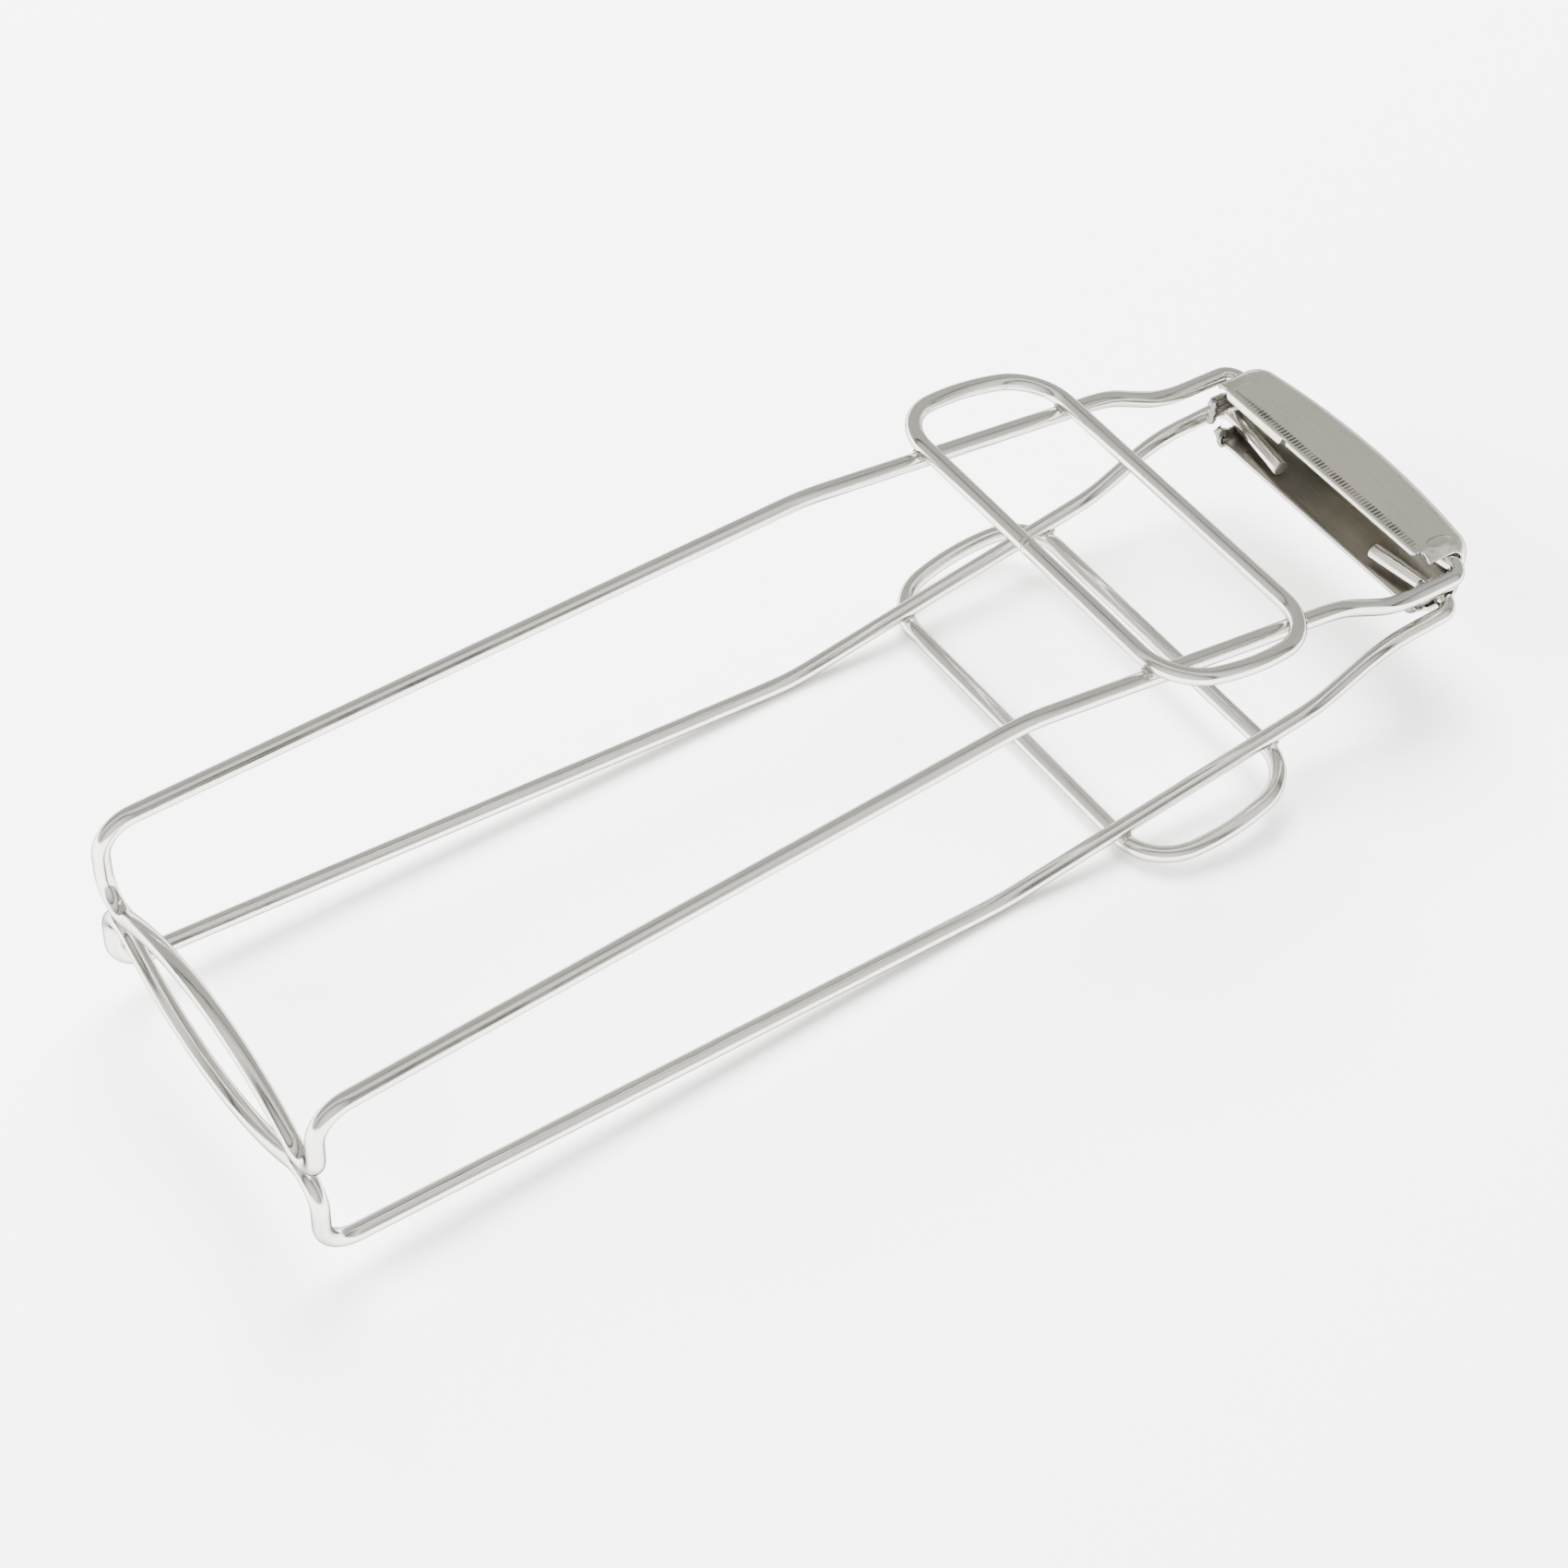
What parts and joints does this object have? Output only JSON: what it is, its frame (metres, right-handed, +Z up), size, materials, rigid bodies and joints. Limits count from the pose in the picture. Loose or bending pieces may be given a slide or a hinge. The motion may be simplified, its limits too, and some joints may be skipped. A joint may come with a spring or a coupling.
{
  "type": "wire serving tongs",
  "caption": "Stainless wire tongs: bowed-jaw wire frames hinged in a folded sheet channel, with a rectangular wire grip loop welded across each frame.",
  "frame": {"origin": "on the resting surface, under the middle of the whole object", "axes": "+X from the jaws towards the hinge, +Y along the hinge, +Z up"},
  "size_m": [0.2378, 0.0846, 0.0467],
  "materials": {
    "wire": "polished",
    "sheet": "satin",
    "weld": "bright"
  },
  "bodies": {
    "channel": {"hinge_channel": "sheet"},
    "upper_jaw": {"upper_frame": "wire", "upper_grip_loop": "wire", "upper_weld_beads": "weld"},
    "lower_jaw": {"lower_frame": "wire", "lower_grip_loop": "wire", "lower_weld_beads": "weld"}
  },
  "joints": [
    {"name": "upper_hinge", "type": "hinge", "parent": "channel", "child": "upper_jaw", "pos_m": [0.1113, 0, 0.02757], "axis": [0, 1, 0], "range_deg": [0, 20]},
    {"name": "lower_hinge", "type": "hinge", "parent": "channel", "child": "lower_jaw", "pos_m": [0.1113, 0, 0.01917], "axis": [0, -1, 0], "range_deg": [0, 20]}
  ]
}
